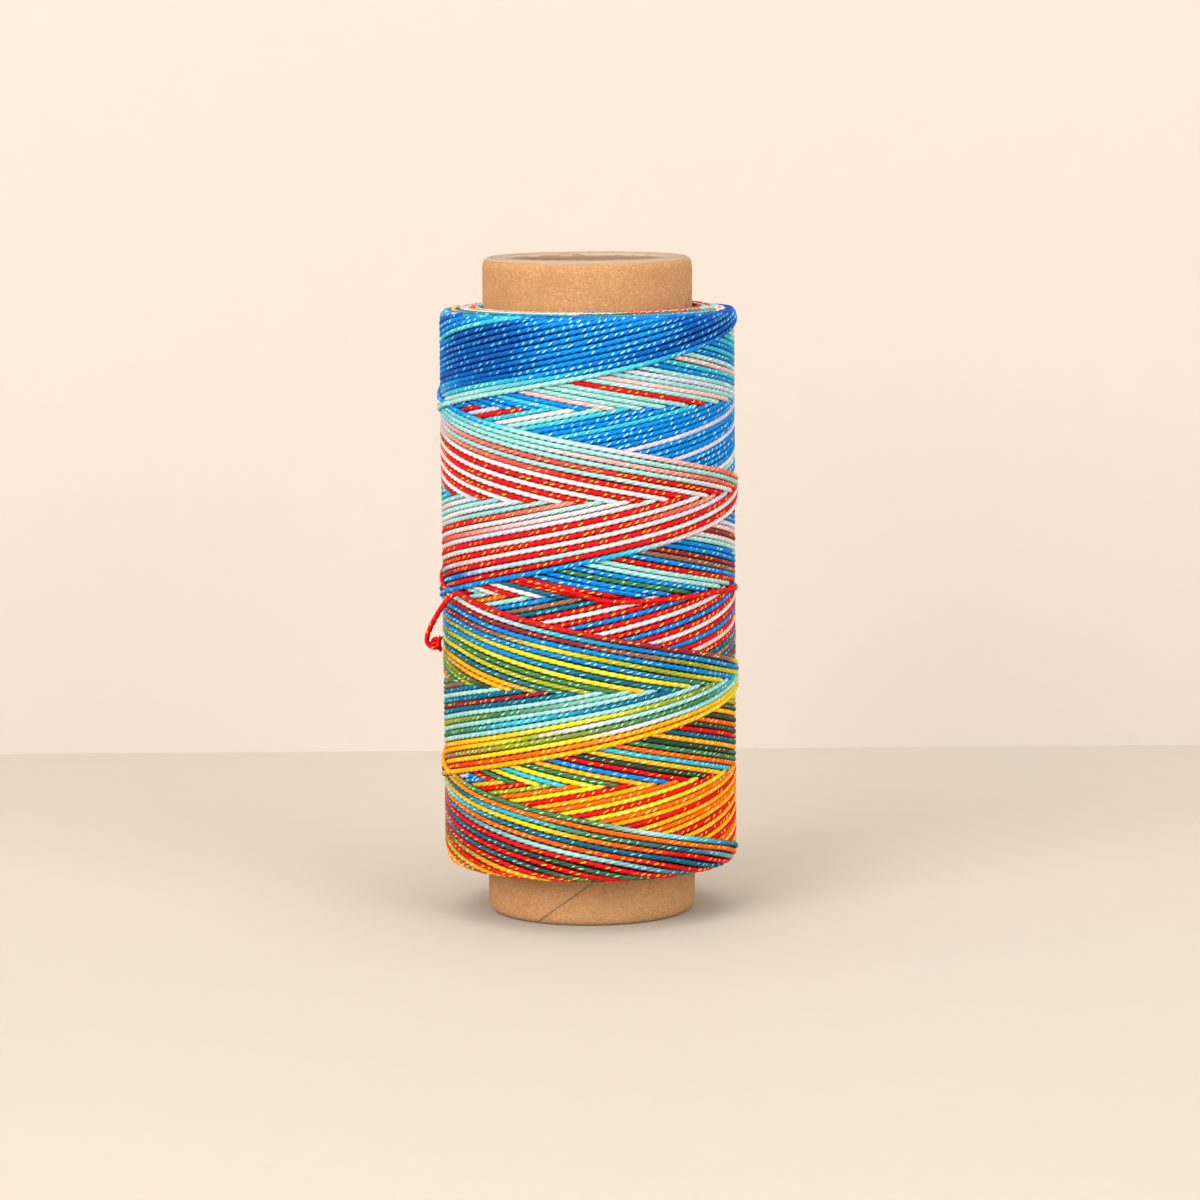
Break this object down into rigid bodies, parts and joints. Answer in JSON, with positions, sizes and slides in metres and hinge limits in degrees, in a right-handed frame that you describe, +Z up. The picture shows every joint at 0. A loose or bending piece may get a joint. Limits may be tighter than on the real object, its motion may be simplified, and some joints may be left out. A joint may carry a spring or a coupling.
{
  "type": "spool of waxed cord",
  "caption": "Fine twisted waxed cord in changing colours, wound in crossing bands on a plain paper tube, with its loose end hanging at one side.",
  "frame": {"origin": "on the tube's axis at its bottom edge, so the part stands on the plane Z = 0", "axes": "+Z up along the tube's axis; -Y is the front, the side that the picture shows, and the loose end hangs at the front left, towards -X"},
  "size_m": [0.0331, 0.0314, 0.07],
  "materials": {
    "kraft_paper": "matt brown paper board with a spiral seam and pale cut edges",
    "dyed_cord": "satin waxed twisted cord, dyed in stretches of blue, aqua, white, red, orange and yellow, with small glints of tinsel",
    "red_cord": "satin waxed twisted cord, red"
  },
  "bodies": {
    "root": {"tube": "kraft_paper", "winding": "dyed_cord", "loose_end": "red_cord"}
  },
  "joints": []
}
